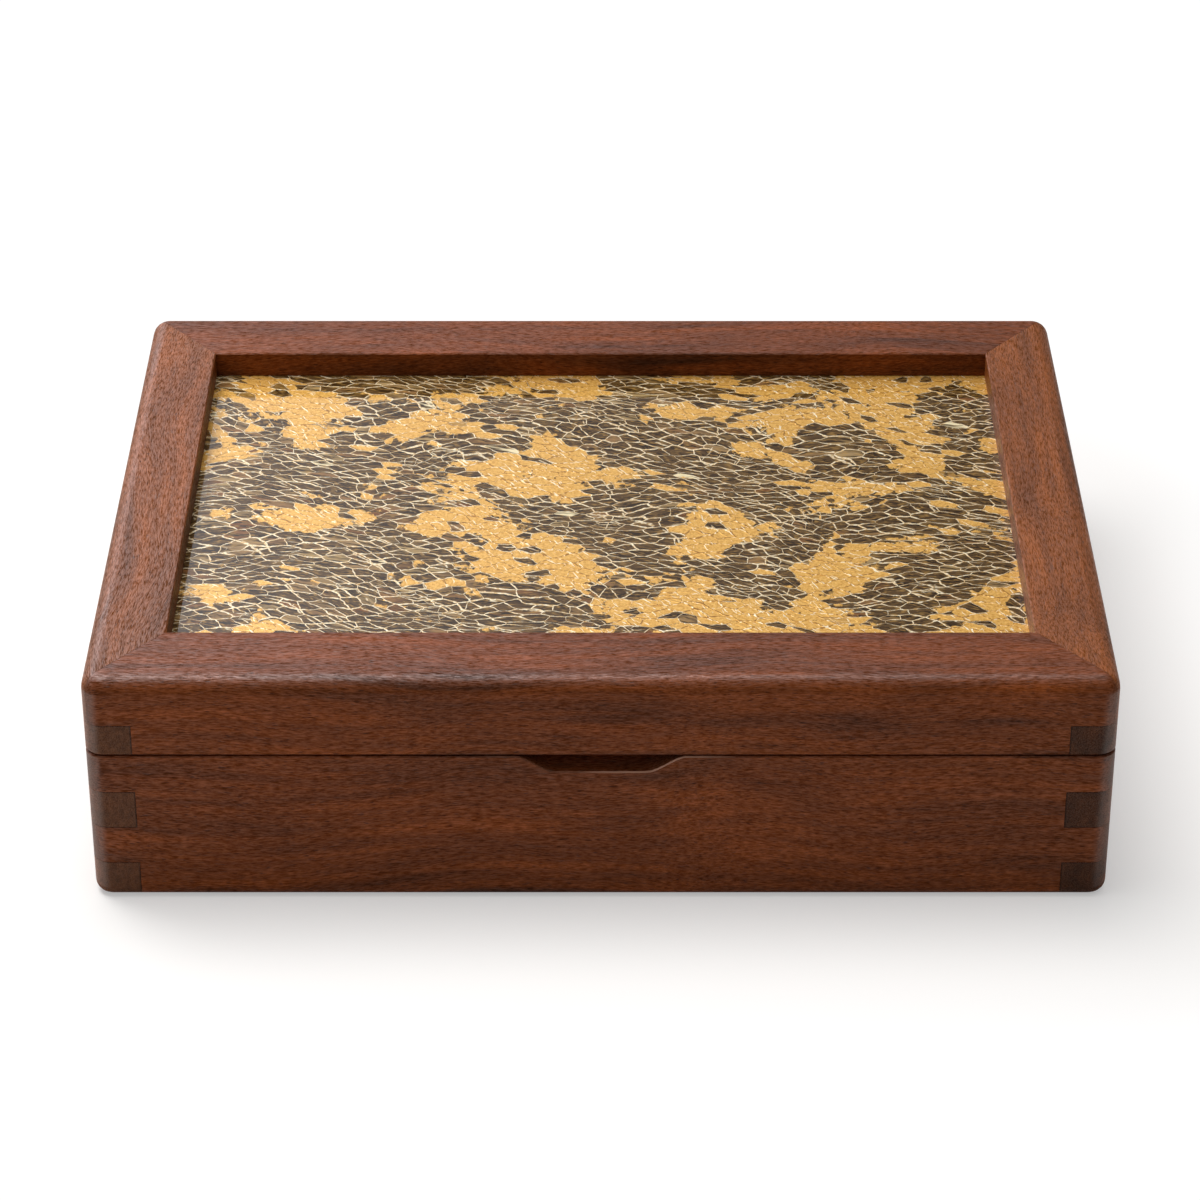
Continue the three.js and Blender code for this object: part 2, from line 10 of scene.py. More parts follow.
import bpy
import numpy as np
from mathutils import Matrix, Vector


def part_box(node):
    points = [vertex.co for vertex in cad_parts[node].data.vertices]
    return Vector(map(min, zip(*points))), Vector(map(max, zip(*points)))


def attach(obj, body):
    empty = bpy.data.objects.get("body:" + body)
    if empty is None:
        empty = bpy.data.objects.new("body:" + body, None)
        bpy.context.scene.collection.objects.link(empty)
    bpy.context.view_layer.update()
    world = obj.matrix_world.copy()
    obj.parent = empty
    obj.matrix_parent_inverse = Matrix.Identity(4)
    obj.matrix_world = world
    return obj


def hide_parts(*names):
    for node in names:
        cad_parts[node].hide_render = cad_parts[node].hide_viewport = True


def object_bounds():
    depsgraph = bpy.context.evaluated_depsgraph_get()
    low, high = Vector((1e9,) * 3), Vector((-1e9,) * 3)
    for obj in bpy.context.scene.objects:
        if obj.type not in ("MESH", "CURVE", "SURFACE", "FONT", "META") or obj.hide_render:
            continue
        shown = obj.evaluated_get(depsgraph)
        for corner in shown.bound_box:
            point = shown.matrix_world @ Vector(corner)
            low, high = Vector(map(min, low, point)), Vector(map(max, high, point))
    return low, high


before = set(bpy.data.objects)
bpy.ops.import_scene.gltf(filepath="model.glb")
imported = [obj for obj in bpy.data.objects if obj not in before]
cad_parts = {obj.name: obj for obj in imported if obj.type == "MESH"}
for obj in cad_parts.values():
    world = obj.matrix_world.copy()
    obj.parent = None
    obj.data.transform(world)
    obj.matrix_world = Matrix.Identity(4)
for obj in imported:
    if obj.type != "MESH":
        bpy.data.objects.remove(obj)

MM = 0.001
cad_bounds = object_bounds()
print("CAD box in metres", [[round(v, 4) for v in corner] for corner in cad_bounds])

# %% [markdown]
# The camera stands where the photographer stood. A long lens from a metre away, looking down
# at about 31 degrees, gives the box its gently narrowing far side. The distance, height, tilt
# and lens were found by matching the box's corners and edges to the picture.

# %% Camera
camera_distance = 1084.2 * MM
camera_height = 687.0 * MM
camera_aside = -0.2 * MM
camera_tilt = math.radians(31.085)
camera_data = bpy.data.cameras.new("camera")
camera_data.lens = 119.8
camera_data.sensor_width = 36.0
camera = bpy.data.objects.new("camera", camera_data)
camera.location = (camera_aside, -camera_distance, camera_height)
camera.rotation_euler = (math.pi / 2 - camera_tilt, 0.0, 0.0)
bpy.context.scene.collection.objects.link(camera)
bpy.context.scene.camera = camera
print("camera tilt in degrees", round(math.degrees(camera_tilt), 2))

# %% [markdown]
# Three small helpers carry all the materials. Colours are picked as sRGB hex values, as a
# painter reads them off a swatch, but light adds up in linear numbers, so one function turns
# one into the other. The second adds a shader node and fills its sockets in one call, and the
# third starts an empty material. A socket is named by its label or its number: on a Mix node,
# 0 is the share, 2 and 3 are the two plain values, and 6 and 7 are the two colours.

# %% Colour and node helpers
def linear(hex_colour):
    """sRGB hex to linear RGBA, by the standard curve with its straight foot."""
    channels = [int(hex_colour[i:i + 2], 16) / 255 for i in (1, 3, 5)]
    return [c / 12.92 if c <= 0.04045 else ((c + 0.055) / 1.055) ** 2.4 for c in channels] + [1.0]


def add(tree, kind, inputs=None, **settings):
    """Adds a node, sets its properties, and sets or links each input that is named. A node
    given as an input is linked from its first output in use."""
    node = tree.nodes.new("ShaderNode" + kind)
    for name, value in settings.items():
        setattr(node, name, value)
    for name, value in (inputs or {}).items():
        if isinstance(value, bpy.types.Node):
            value = next(output for output in value.outputs if output.enabled)
        if isinstance(value, bpy.types.NodeSocket):
            tree.links.new(value, node.inputs[name])
        else:
            node.inputs[name].default_value = value
    return node


def new_material(name):
    """An empty node material and its tree."""
    material = bpy.data.materials.new(name)
    material.use_nodes = True
    material.node_tree.nodes.clear()
    return material, material.node_tree


print("the grey #808080 is", round(linear("#808080")[0], 3), "in linear light")

# %% [markdown]
# The floor is one plain white plane. A single sheet of paper would render grey, because the
# lamps are set for the box, so to the lens the floor is part glowing paper, as in a product
# picture whose background was lifted to white. The lift grows with the distance from the
# box, so the shadow beside the box is kept. Only the lens sees the glow: it lights nothing.

# %% Floor
half_floor = 6.0
floor_mesh = bpy.data.meshes.new("floor")
floor_signs = ((-1, -1), (1, -1), (1, 1), (-1, 1))
floor_corners = [(x * half_floor, y * half_floor, 0.0) for x, y in floor_signs]
floor_mesh.from_pydata(floor_corners, [], [(0, 1, 2, 3)])
floor = bpy.data.objects.new("floor", floor_mesh)
bpy.context.scene.collection.objects.link(floor)

lifted_share = 0.36
lift_starts = 30.0 * MM
lift_ends = 90.0 * MM
half_box = tuple(np.array(cad_bounds[1])[:2]) + (0.0,)
floor_paper, paper_tree = new_material("white_seamless_paper")
paper = add(paper_tree, "BsdfDiffuse", {"Color": linear("#fffcf9")})
glow = add(paper_tree, "Emission", {"Color": linear("#ffffff"), "Strength": 1.06})
on_floor = add(paper_tree, "TexCoord")
mirrored = add(paper_tree, "VectorMath", {0: on_floor.outputs["Object"]}, operation="ABSOLUTE")
beyond = add(paper_tree, "VectorMath", {0: mirrored, 1: half_box}, operation="SUBTRACT")
outside = add(paper_tree, "VectorMath", {0: beyond, 1: (0.0, 0.0, 0.0)}, operation="MAXIMUM")
from_box = add(paper_tree, "VectorMath", {0: outside}, operation="LENGTH")
lifted_by = add(paper_tree, "MapRange",
                {"Value": from_box, "From Min": lift_starts, "From Max": lift_ends,
                 "To Min": lifted_share, "To Max": 1.0}, interpolation_type="SMOOTHSTEP")
floor_ray = add(paper_tree, "LightPath")
lift = add(paper_tree, "Math", {0: floor_ray.outputs["Is Camera Ray"], 1: lifted_by},
           operation="MULTIPLY")
lifted = add(paper_tree, "MixShader", {0: lift, 1: paper, 2: glow})
add(paper_tree, "OutputMaterial", {"Surface": lifted})
floor_mesh.materials.append(floor_paper)
print("the floor turns white", round(lift_ends / MM), "mm away from the box")

# %% [markdown]
# A large soft lamp hangs high over the box, leaning a little to the left and the back, and
# gives most of the light. A small lamp close to the left side lights that side more than the
# right, so the shadow falls to the right. A wide fill from overhead opens the shadows. It is
# behind polarising film, so nothing shows its reflection.

# %% Lamps
def aim(lamp, toward):
    """Turns a lamp, whose light leaves along its own -Z, to shine along a direction."""
    azimuth = math.atan2(-toward[0], toward[1])
    tilt = math.atan2(math.hypot(toward[0], toward[1]), -toward[2])
    lamp.rotation_euler = (tilt, 0.0, azimuth)


def disk_lamp(name, place, size, energy):
    """A round soft lamp that faces the middle of the box."""
    data = bpy.data.lights.new(name, "AREA")
    data.shape = "DISK"
    data.size = size
    data.energy = energy
    lamp = bpy.data.objects.new(name, data)
    lamp.location = place
    aim(lamp, -np.array(place))
    bpy.context.scene.collection.objects.link(lamp)
    return lamp


high_lamp = disk_lamp("high_soft_lamp", place=(-0.36, 0.26, 1.80), size=1.3, energy=22.5)
near_lamp = disk_lamp("near_left_lamp", place=(-0.30, 0.05, 0.36), size=0.20, energy=0.53)

fill_data = bpy.data.lights.new("polarised_fill", "SUN")
fill_data.energy = 1.05
fill_data.angle = math.radians(90)
fill = bpy.data.objects.new("polarised_fill", fill_data)
fill.visible_glossy = False
aim(fill, (0.0, 0.12, -1.0))
bpy.context.scene.collection.objects.link(fill)
print("lamp distances in metres", [round(lamp.location.length, 2) for lamp in (high_lamp, near_lamp)])

# %% [markdown]
# The room shows in reflections only. It is dark toward the lens and a little lighter toward
# the back. A pale wall stands behind the box at the left and runs up high, and the lacquer
# and the oiled top reflect it more and more from right to left. A white card at the left
# draws the bright line down the left corner. Each of these is a glow that grows as a ray's
# direction comes close to its own, measured by the dot product of the two.

# %% Room
toward_wall = (-0.52, 0.60, 0.61)
wall_brightness = 6.2
toward_card = (-0.96, -0.24, 0.15)
card_brightness = 1.6
room = bpy.data.worlds.new("studio_room")
bpy.context.scene.world = room
room.use_nodes = True
room.cycles_visibility.diffuse = False
room_tree = room.node_tree
room_tree.nodes.clear()
direction = add(room_tree, "TexCoord")


def nearness(to_what):
    """How far each ray leans toward a direction: 1 along it, 0 square to it, -1 away from it."""
    return add(room_tree, "VectorMath", {0: direction.outputs["Generated"], 1: to_what},
               operation="DOT_PRODUCT")


dome = add(room_tree, "MapRange",
           {"Value": nearness((0.0, 1.0, 0.0)), "From Min": -0.7, "From Max": 0.5,
            "To Min": 0.05, "To Max": 0.13}, interpolation_type="SMOOTHSTEP")
near_wall = add(room_tree, "MapRange", {"Value": nearness(toward_wall), "From Min": 0.74})
wall_shape = add(room_tree, "Math", {0: near_wall, 1: 2.6}, operation="POWER")
wall_glow = add(room_tree, "Math",
                {0: wall_shape, 1: wall_brightness, 2: dome}, operation="MULTIPLY_ADD")
card_glow = add(room_tree, "MapRange",
                {"Value": nearness(toward_card), "From Min": 0.70, "From Max": 0.96,
                 "To Max": card_brightness}, interpolation_type="SMOOTHSTEP")
brightness = add(room_tree, "Math", {0: wall_glow, 1: card_glow}, operation="ADD")
room_ray = add(room_tree, "LightPath")
strength = add(room_tree, "Mix",
               {0: room_ray.outputs["Is Camera Ray"], 2: brightness, 3: 1.0}, data_type="FLOAT")
tint = add(room_tree, "Mix",
           {0: room_ray.outputs["Is Camera Ray"], 6: linear("#ecf3ff"), 7: linear("#ffffff")},
           data_type="RGBA")
air = add(room_tree, "Background", {"Color": tint, "Strength": strength})
add(room_tree, "OutputWorld", {"Surface": air})
bpy.context.scene.view_settings.view_transform = "Standard"
print("the wall shows at up to", wall_brightness, "and the card at up to", card_brightness)

# %% [markdown]
# Oiled walnut, planed, sanded and wiped with oil. Wood is a solid pattern, not a printed
# sheet: the fibres run through the whole board, so a face along them shows long streaks and a
# face across them shows small dark ends. One pattern in the piece's own coordinates, stretched
# along the grain, gives both. The colour has layers of it: broad figure, growth bands, fine
# streaks, a faint ripple across and open pores. Each has its length along the grain and its
# width across it. Real pores are 0.1 to 0.2 mm wide; here they are 0.3 mm, so that they show.

# %% Grain of walnut
figure_size = (70.0 * MM, 9.0 * MM)
band_size = (160.0 * MM, 2.6 * MM)
streak_size = (2.8 * MM, 0.38 * MM)
ripple_size = (1.8 * MM, 3.5 * MM)
pore_size = (2.6 * MM, 0.3 * MM)


def grain_place(tree, place, along_y):
    """Object coordinates turned until the grain runs along x, and bent a little by slow noise."""
    turn = math.pi / 2 if along_y else 0.0
    grain = add(tree, "Mapping", {"Vector": place.outputs["Object"], "Rotation": (0.0, 0.0, turn)})
    wander = add(tree, "TexNoise", {"Vector": grain, "Scale": 9.0, "Detail": 1.0})
    return add(tree, "VectorMath", {0: wander.outputs["Color"], 1: (0.0, 0.022, 0.022), 2: grain},
               operation="MULTIPLY_ADD")


def fibres(tree, along_grain, length, width, detail, roughness=0.5):
    """Noise drawn out to this length along the grain and this width across it."""
    stretch = (1 / length, 1 / width, 1 / width)
    drawn = add(tree, "VectorMath", {0: along_grain, 1: stretch}, operation="MULTIPLY")
    return add(tree, "TexNoise",
               {"Vector": drawn, "Scale": 1.0, "Detail": detail, "Roughness": roughness})


def grain_colour(tree, along_grain, streaks, pores, light, dark, pore):
    """Dark to light by figure and bands, times the shade of streaks and ripple, then pores."""
    figure_noise = fibres(tree, along_grain, *figure_size, 3.0, 0.6)
    figure = add(tree, "MapRange", {"Value": figure_noise, "From Min": 0.3, "From Max": 0.7})
    band_noise = fibres(tree, along_grain, *band_size, 2.0)
    bands = add(tree, "MapRange", {"Value": band_noise, "From Min": 0.3, "From Max": 0.7})
    tone = add(tree, "Mix", {0: 0.4, 2: figure, 3: bands}, data_type="FLOAT")
    body = add(tree, "Mix", {0: tone, 6: linear(dark), 7: linear(light)}, data_type="RGBA")
    streak_shade = add(tree, "MapRange",
                       {"Value": streaks, "From Min": 0.28, "From Max": 0.72,
                        "To Min": 0.50, "To Max": 1.50})
    ripple = fibres(tree, along_grain, *ripple_size, 2.0)
    ripple_shade = add(tree, "MapRange",
                       {"Value": ripple, "From Min": 0.3, "From Max": 0.7, "To Min": 0.94, "To Max": 1.06})
    shade = add(tree, "Math", {0: streak_shade, 1: ripple_shade}, operation="MULTIPLY")
    streaked = add(tree, "VectorMath", {0: body, "Scale": shade}, operation="SCALE")
    return add(tree, "Mix", {0: pores, 6: streaked, 7: linear(pore)}, data_type="RGBA")


print("growth bands are", round(band_size[0] / band_size[1]), "times as long as wide")

# %% [markdown]
# Oil soaks deeper into the end grain, which is why the fingers at the corners are darker and
# greyer than the faces beside them. Glue has drawn a dark line round each finger's end. The
# lines lie where the joints are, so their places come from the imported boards: the fingers of
# the case share its height equally, and the lid has one finger at the foot of each corner.

# %% End grain and glue lines
case_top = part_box("left_board")[1][2]
case_fingers = 4
lid_finger = 10.0 * MM
finger_foot = -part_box("left_board")[1][0]
finger_levels = [case_top * n / case_fingers for n in range(1, case_fingers)]
finger_levels.append(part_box("lid_left_rail")[0][2] + lid_finger)
blotch_size = (5.0 * MM, 1.5 * MM)


def end_grain(tree, along_grain, across, face_colour, end):
    """Blotched dark colour, mixed in as the surface turns across the fibres."""
    turned_across = add(tree, "MapRange",
                        {"Value": across, "From Min": 0.25, "From Max": 0.95, "To Max": 0.75})
    blotches = fibres(tree, along_grain, *blotch_size, 4.0, 0.75)
    blotch_shade = add(tree, "MapRange",
                       {"Value": blotches, "From Min": 0.3, "From Max": 0.7, "To Min": 0.40, "To Max": 1.60})
    end_colour = add(tree, "VectorMath", {0: linear(end)[:3], "Scale": blotch_shade}, operation="SCALE")
    return add(tree, "Mix", {0: turned_across, 6: face_colour, 7: end_colour}, data_type="RGBA")


def glue_lines(tree, spot, aside, across, wood_colour):
    """Dark within half a millimetre of the nearest joint, on end grain only."""
    nearest = add(tree, "Math", {0: aside, 1: finger_foot}, operation="SUBTRACT")
    for joint_height in finger_levels:
        above = add(tree, "Math", {0: spot.outputs["Z"], 1: joint_height}, operation="SUBTRACT")
        away = add(tree, "Math", {0: above}, operation="ABSOLUTE")
        nearest = add(tree, "Math", {0: nearest, 1: away}, operation="MINIMUM")
    line = add(tree, "MapRange",
               {"Value": nearest, "From Min": 0.10 * MM, "From Max": 0.45 * MM, "To Min": 0.6, "To Max": 0.0})
    on_end = add(tree, "MapRange", {"Value": across, "From Min": 0.90, "From Max": 0.99})
    glued = add(tree, "Math", {0: line, 1: on_end}, operation="MULTIPLY")
    return add(tree, "Mix", {0: glued, 6: wood_colour, 7: linear("#1c0f08")}, data_type="RGBA")


print("finger joints at heights in mm", [round(height / MM, 2) for height in finger_levels])

# %% [markdown]
# Where the lid is opened, at the notch in the front board, the narrow slanting edge of the
# rim is painted pale: a painted highlight, strongest on the right half, whose edge faces the
# light from the left, and the same mask makes that edge shine more. The oil film is uneven
# everywhere: it is rubbed up on the top, which hands touch, and on the round edges, and it is thinner in the
# dark streaks.

# %% Wear and shine of the oil
notch_depth = 5.3 * MM
notch_opening = 51.5 * MM
rub_reach = 14.0 * MM
front_face = cad_bounds[0][1]
notch_middle = case_top - notch_depth / 2 - 0.2 * MM


def arris_rub_and_highlight(tree, spot, aside, sides, most_square):
    """One mask times another: stronger on the right half, where the light from the left
    catches the edge, between the notch's floor and the rim, at the front face, near the notch,
    facing up, and slanting. It paints the edge pale as a painted highlight and raises its
    shine. In the loop, each mask rises from 0 at its first value to 1 at its second."""
    from_middle = add(tree, "Math", {0: spot.outputs["Z"], 1: notch_middle}, operation="SUBTRACT")
    height_off = add(tree, "Math", {0: from_middle}, operation="ABSOLUTE")
    rub_and_highlight = add(tree, "MapRange",
                 {"Value": spot.outputs["X"], "From Min": -8.0 * MM, "From Max": 4.0 * MM,
                  "To Min": 0.15, "To Max": 1.0})
    for value, none_at, all_at in (
            (height_off, notch_depth / 2 + 0.50 * MM, notch_depth / 2 + 0.35 * MM),
            (spot.outputs["Y"], front_face + 0.60 * MM, front_face + 0.45 * MM),
            (aside, notch_opening / 2 + rub_reach, notch_opening / 2 + 2.0 * MM),
            (sides.outputs["Z"], 0.35, 0.45),
            (most_square, 0.86, 0.78)):
        mask = add(tree, "MapRange", {"Value": value, "From Min": none_at, "From Max": all_at})
        rub_and_highlight = add(tree, "Math", {0: rub_and_highlight, 1: mask}, operation="MULTIPLY")
    return rub_and_highlight


def oil_shine(tree, streaks, sides, most_square, arris_highlight):
    """Specular level and roughness: film times rub on the top, plus rub on the round edges."""
    film = add(tree, "MapRange", {"Value": streaks, "From Min": 0.37, "From Max": 0.63})
    facing_up = sides.outputs["Z"]
    top_rub = add(tree, "MapRange",
                  {"Value": facing_up, "From Min": 0.3, "From Max": 0.9, "To Min": 0.24, "To Max": 0.84})
    round_edge = add(tree, "MapRange", {"Value": most_square, "From Min": 1.0, "From Max": 0.92})
    upright = add(tree, "MapRange",
                  {"Value": facing_up, "From Min": 0.0, "From Max": 0.12, "To Min": 0.55, "To Max": 0.0})
    handled = add(tree, "MapRange",
                  {"Value": facing_up, "From Min": 0.80, "From Max": 0.97, "To Max": 0.35})
    touched = add(tree, "Math", {0: upright, 1: handled}, operation="ADD")
    rub_and_highlight = add(tree, "Math", {0: touched, 1: arris_highlight}, operation="ADD")
    edge_rub = add(tree, "Math", {0: round_edge, 1: rub_and_highlight, 2: 0.03}, operation="MULTIPLY_ADD")
    polish = add(tree, "Math", {0: film, 1: top_rub, 2: edge_rub}, operation="MULTIPLY_ADD")
    flat_rough = add(tree, "MapRange",
                     {"Value": streaks, "From Min": 0.3, "From Max": 0.7, "To Min": 0.50, "To Max": 0.34})
    rough = add(tree, "Math", {0: round_edge, 1: 0.1, 2: flat_rough}, operation="MULTIPLY_ADD")
    return polish, rough


print("the rim is pale within", round((notch_opening / 2 + rub_reach) / MM, 1), "mm of the middle")

# %% [markdown]
# Now the wood itself. Each board has its own four colours, because no two boards of one tree
# are alike: the two sides are a little lighter than the front and back, and the slats inside
# are oiled thinly, so they stay paler. The right side's end grain is painted near black: that
# is painted shade for the right corner, which faces away from the light.

# %% Oiled walnut
def walnut(name, along_y, light, dark, pore, end):
    """Walnut whose grain runs along x, or along y. Its relief is the streaks less the pores."""
    material, tree = new_material(name)
    place = add(tree, "TexCoord")
    spot = add(tree, "SeparateXYZ", {0: place.outputs["Object"]})
    aside = add(tree, "Math", {0: spot.outputs["X"]}, operation="ABSOLUTE")
    facing = add(tree, "VectorMath", {0: place.outputs["Normal"]}, operation="ABSOLUTE")
    sides = add(tree, "SeparateXYZ", {0: facing})
    flattest = add(tree, "Math", {0: sides.outputs["X"], 1: sides.outputs["Y"]}, operation="MAXIMUM")
    most_square = add(tree, "Math", {0: flattest, 1: sides.outputs["Z"]}, operation="MAXIMUM")
    across = sides.outputs["Y" if along_y else "X"]

    along_grain = grain_place(tree, place, along_y)
    streaks = fibres(tree, along_grain, *streak_size, 2.0, 0.7)
    pore_noise = fibres(tree, along_grain, *pore_size, 1.0)
    pores = add(tree, "MapRange",
                {"Value": pore_noise, "From Min": 0.60, "From Max": 0.72, "To Max": 0.65})
    face_colour = grain_colour(tree, along_grain, streaks, pores, light, dark, pore)
    soaked = end_grain(tree, along_grain, across, face_colour, end)
    jointed = glue_lines(tree, spot, aside, across, soaked)
    arris_highlight = arris_rub_and_highlight(tree, spot, aside, sides, most_square)
    # The notch's slanting edge is painted pale here: a painted highlight where light from the left catches
    # it.
    painted_arris_highlight = add(tree, "Math", {0: arris_highlight, 1: 0.5}, operation="MULTIPLY")
    finished = add(tree, "Mix", {0: painted_arris_highlight, 6: jointed, 7: linear("#c98f6c")}, data_type="RGBA")

    polish, rough = oil_shine(tree, streaks, sides, most_square, arris_highlight)
    relief = add(tree, "Math", {0: streaks, 1: pores}, operation="SUBTRACT")
    bump = add(tree, "Bump", {"Strength": 0.5, "Distance": 0.15 * MM, "Height": relief})
    wood = add(tree, "BsdfPrincipled",
               {"Base Color": finished, "Roughness": rough, "IOR": 1.45,
                "Specular IOR Level": polish, "Normal": bump})
    add(tree, "OutputMaterial", {"Surface": wood})
    return material


walnut_along_x = walnut("oiled_walnut_along_x", False, "#894417", "#492613", "#241006", "#543420")
walnut_left = walnut("oiled_walnut_left_side", True, "#8e4e22", "#563018", "#2c1408", "#4e3220")
# The right side's near-black end grain colour is painted shade for the right corner.
walnut_right_shaded_ends = walnut("oiled_walnut_right_side_shaded_ends", True, "#9a5524", "#5c3216", "#2c1408", "#1a1310")
slats_along_x = walnut("planed_walnut_slats_along_x", False, "#96582f", "#6b3c1e", "#3a1e0e", "#4a2a18")
slats_along_y = walnut("planed_walnut_slats_along_y", True, "#96582f", "#6b3c1e", "#3a1e0e", "#4a2a18")
print("nodes in a walnut", len(walnut_along_x.node_tree.nodes))

# %% [markdown]
# A packed board arrives as loose triangles, which shade as flat facets. A copy with its
# corners merged can shade smoothly over the round edges and stay crisp at the sharp ones.
# Weighted normals keep the big flat faces flat right up to the curves. The copy then stands
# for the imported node, with the same shape to the last vertex.

# %% Smooth copies of the wooden pieces
same_place = 0.001 * MM


def smooth_copy(node, material, body, crease_degrees=32.0):
    """A merged copy of a CAD node, smooth where its faces meet under the crease angle."""
    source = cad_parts[node]
    corners = np.zeros(len(source.data.vertices) * 3, np.float32)
    source.data.vertices.foreach_get("co", corners)
    corners = corners.reshape(-1, 3)
    triangles = np.zeros(len(source.data.polygons) * 3, np.int64)
    source.data.polygons.foreach_get("vertices", triangles)
    keys = np.round(corners / same_place).astype(np.int64)
    first, inverse = np.unique(keys, axis=0, return_index=True, return_inverse=True)[1:]
    faces = inverse.reshape(-1)[triangles].reshape(-1, 3)
    whole = (faces[:, 0] != faces[:, 1]) & (faces[:, 1] != faces[:, 2]) & (faces[:, 2] != faces[:, 0])
    mesh = bpy.data.meshes.new(node + "_finished")
    mesh.from_pydata(corners[first].tolist(), [], faces[whole].tolist())
    mesh.materials.append(material)
    mesh.shade_smooth()
    mesh.set_sharp_from_angle(angle=math.radians(crease_degrees))
    piece = bpy.data.objects.new(node + "_finished", mesh)
    bpy.context.scene.collection.objects.link(piece)
    weighted = piece.modifiers.new("flat_faces_stay_flat", "WEIGHTED_NORMAL")
    weighted.keep_sharp = True
    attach(piece, body)
    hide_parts(node)
    return piece


side_woods = {"front": walnut_along_x, "back": walnut_along_x, "left": walnut_left, "right": walnut_right_shaded_ends}
for side, wood in side_woods.items():
    smooth_copy(f"{side}_board", wood, "case")
    smooth_copy(f"lid_{side}_rail", wood, "lid")
    smooth_copy(f"{side}_retaining_strip", wood, "lid")
smooth_copy("base_panel", walnut_along_x, "case")
smooth_copy("long_divider", slats_along_x, "case")
for side in ("left", "right"):
    smooth_copy(f"{side}_cross_divider", slats_along_y, "case")

# %% [markdown]
# The panel is gilded in the broken way: loose leaf is laid on a dark ground, the sheet is
# shrunk until it tears into a net of fine creases, and clear lacquer is flooded over it and
# polished flat. So three things are seen at once: dark cells between pale gold creases, islands
# of whole leaf whose ragged borders follow the cells, and one level glossy coat over both.
# All its patterns are worked out in millimetres on the panel's plan. The shrinking sheet
# swayed, rippled and wavered, so the plan is pushed about by three sizes of noise first.

# %% Places on the panel
def panel_places(tree):
    """The plan in millimetres, and the same plan pushed about by noise. Each push has its
    features per millimetre, its detail, and how far it moves a point."""
    place = add(tree, "TexCoord")
    plan = add(tree, "VectorMath", {0: place.outputs["Object"], 1: (1 / MM, 1 / MM, 0.0)},
               operation="MULTIPLY")
    rippled = plan
    for scale, detail, distance in ((0.018, 1.0, 26.0), (0.13, 2.0, 2.6), (0.34, 1.0, 1.1)):
        push = add(tree, "TexNoise", {"Vector": plan, "Scale": scale, "Detail": detail})
        rippled = add(tree, "VectorMath",
                      {0: push.outputs["Color"], 1: (distance, distance, 0.0), 2: rippled},
                      operation="MULTIPLY_ADD")
    return plan, rippled


def stretched(tree, where, slant, long, wide, shift=0.0):
    """The place turned by the slant in degrees, with long x wide millimetres as one unit."""
    turned = add(tree, "Mapping",
                 {"Vector": where, "Rotation": (0.0, 0.0, math.radians(slant)),
                  "Location": (shift, shift, 0.0)})
    return add(tree, "VectorMath", {0: turned, 1: (1 / long, 1 / wide, 0.0)}, operation="MULTIPLY")


panel_size = np.array(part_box("gilded_panel")[1]) - np.array(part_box("gilded_panel")[0])
print("panel in millimetres", np.round(panel_size / MM, 1))

# %% [markdown]
# A Voronoi pattern gives the cells. Dividing its edge distance by the slope of that distance
# turns it into real millimetres, so long cells still have creases of an even width. The slope
# comes from two more samples, a probe of 0.05 mm away along each axis. The looseness is how
# far the cells' seed points stray from a regular grid. The sheet shrank from front to back, so
# creases along x opened about twice as wide as the others.

# %% Distance to a crease
pull = 1.9
probe = 0.05
looseness = 0.72


def crease_distance(tree, space, long, wide, turn=0.0):
    """Millimetres to the nearest crease: edge distance x probe / change over the probe. Across
    the pull the probe reaches further, so a millimetre counts less."""
    samples = []
    for offset in ((0.0, 0.0, 0.0), (probe / long, 0.0, 0.0), (0.0, probe * pull / wide, 0.0)):
        moved = add(tree, "VectorMath", {0: space, 1: offset}, operation="ADD")
        turned = add(tree, "Mapping", {"Vector": moved, "Rotation": (0.0, 0.0, turn)})
        samples.append(add(tree, "TexVoronoi", {"Vector": turned, "Scale": 1.0, "Randomness": looseness},
                           voronoi_dimensions="2D", feature="DISTANCE_TO_EDGE"))
    here, along, across = samples
    change_along = add(tree, "Math", {0: along, 1: here}, operation="SUBTRACT")
    change_across = add(tree, "Math", {0: across, 1: here}, operation="SUBTRACT")
    change = add(tree, "CombineXYZ", {0: change_along, 1: change_across})
    steepness = add(tree, "VectorMath", {0: change}, operation="LENGTH")
    kept = add(tree, "Math", {0: steepness, 1: 0.001}, operation="MAXIMUM")
    ratio = add(tree, "Math", {0: here, 1: kept}, operation="DIVIDE")
    return add(tree, "Math", {0: ratio, 1: probe}, operation="MULTIPLY")


print("creases along x are", pull, "times as wide as creases across")

# %% [markdown]
# The net has three layers: lozenges everywhere that slant down to the right, a finer net in
# some zones, and long slanting creases where the others are thick. The lozenges are square
# cells turned by an eighth, so that they stand on their corners. A crease is 0.1 to 0.4 mm
# wide before the pull, has soft edges, and swells here and there into a nugget. Each net has
# its cells' length and width in millimetres.

# %% Net of creases
lozenge_cell = (6.4, 3.4)
fine_cell = (7.0, 2.6)
great_cell = (50.0, 14.0)
eighth_turn = math.pi / 4
# A step with rounded ends, so that no crease or torn edge starts or stops hard
soft = {"interpolation_type": "SMOOTHSTEP"}


